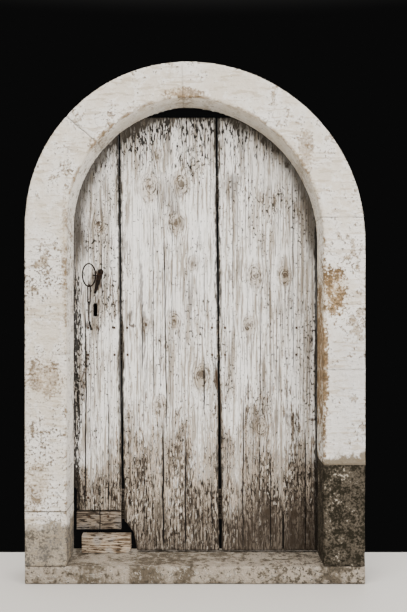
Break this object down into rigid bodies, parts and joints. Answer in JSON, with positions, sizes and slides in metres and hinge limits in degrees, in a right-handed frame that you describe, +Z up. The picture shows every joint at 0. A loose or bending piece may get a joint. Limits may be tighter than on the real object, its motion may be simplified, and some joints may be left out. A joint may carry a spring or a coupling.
{
  "type": "arched wooden door",
  "caption": "Round-headed plank door with ring, lock and strap hinges, swinging inwards in its limewashed stone surround.",
  "frame": {"origin": "under the middle of the sill, at the centre of the footprint", "axes": "+Z up, the outer face of the surround looks along -Y, +X to the right seen from outside"},
  "size_m": [1.292, 0.25, 1.9812],
  "materials": {
    "limewashed_stone": "flaking limewash over dressed stone, ochre where worn",
    "bare_stone": "rough, damp-stained stone with moss",
    "painted_wood": "flaking white paint over grey weathered timber",
    "bare_wood": "bare weathered timber",
    "sawn_wood": "sawn, dusty timber",
    "rusty_iron": "dark forged iron with rust"
  },
  "bodies": {
    "frame": {"sill": "bare_stone", "base_left": "limewashed_stone", "jamb_left": "limewashed_stone", "springer_left": "limewashed_stone", "arch_left": "limewashed_stone", "arch_right": "limewashed_stone", "jamb_right_upper": "limewashed_stone", "jamb_right_lower": "limewashed_stone", "base_right": "bare_stone", "pintle_upper": "rusty_iron", "pintle_lower": "rusty_iron", "keeper": "rusty_iron", "offcut_block": "sawn_wood"},
    "leaf": {"plank_left": "painted_wood", "plank_middle": "painted_wood", "plank_right": "painted_wood", "patch_board": "bare_wood", "ledge_top": "bare_wood", "ledge_middle": "bare_wood", "ledge_bottom": "bare_wood", "ledge_nails": "rusty_iron", "strap_upper": "rusty_iron", "strap_lower": "rusty_iron", "strap_nails": "rusty_iron", "lock_case": "rusty_iron", "lock_nails": "rusty_iron", "staple": "rusty_iron", "ring_plate": "rusty_iron", "plate_stud": "rusty_iron"},
    "bolt": {"lock_bolt": "rusty_iron"},
    "ring": {"pull_ring": "rusty_iron"},
    "link": {"hasp_link": "rusty_iron"},
    "peg": {"hasp_hook": "rusty_iron"}
  },
  "joints": [
    {"name": "leaf_swing", "type": "hinge", "parent": "frame", "child": "leaf", "pos_m": [0.502, 0.106, 0.97], "axis": [0, 0, -1], "range_deg": [0, 95]},
    {"name": "bolt_slide", "type": "slide", "parent": "leaf", "child": "bolt", "axis": [-1, 0, 0], "range_m": [0, 0.034]},
    {"name": "ring_turn", "type": "hinge", "parent": "leaf", "child": "ring", "pos_m": [-0.399, 0.054, 1.176], "axis": [0, 0, 1], "range_deg": [-15, 60]},
    {"name": "link_swing", "type": "hinge", "parent": "ring", "child": "link", "pos_m": [-0.41943, 0.0139, 1.131], "axis": [-0.454, -0.891, 0], "range_deg": [-5, 30]},
    {"name": "peg_swing", "type": "hinge", "parent": "link", "child": "peg", "pos_m": [-0.41943, 0.0139, 1.0658], "axis": [-0.891, 0.454, 0], "range_deg": [-5, 30]}
  ]
}
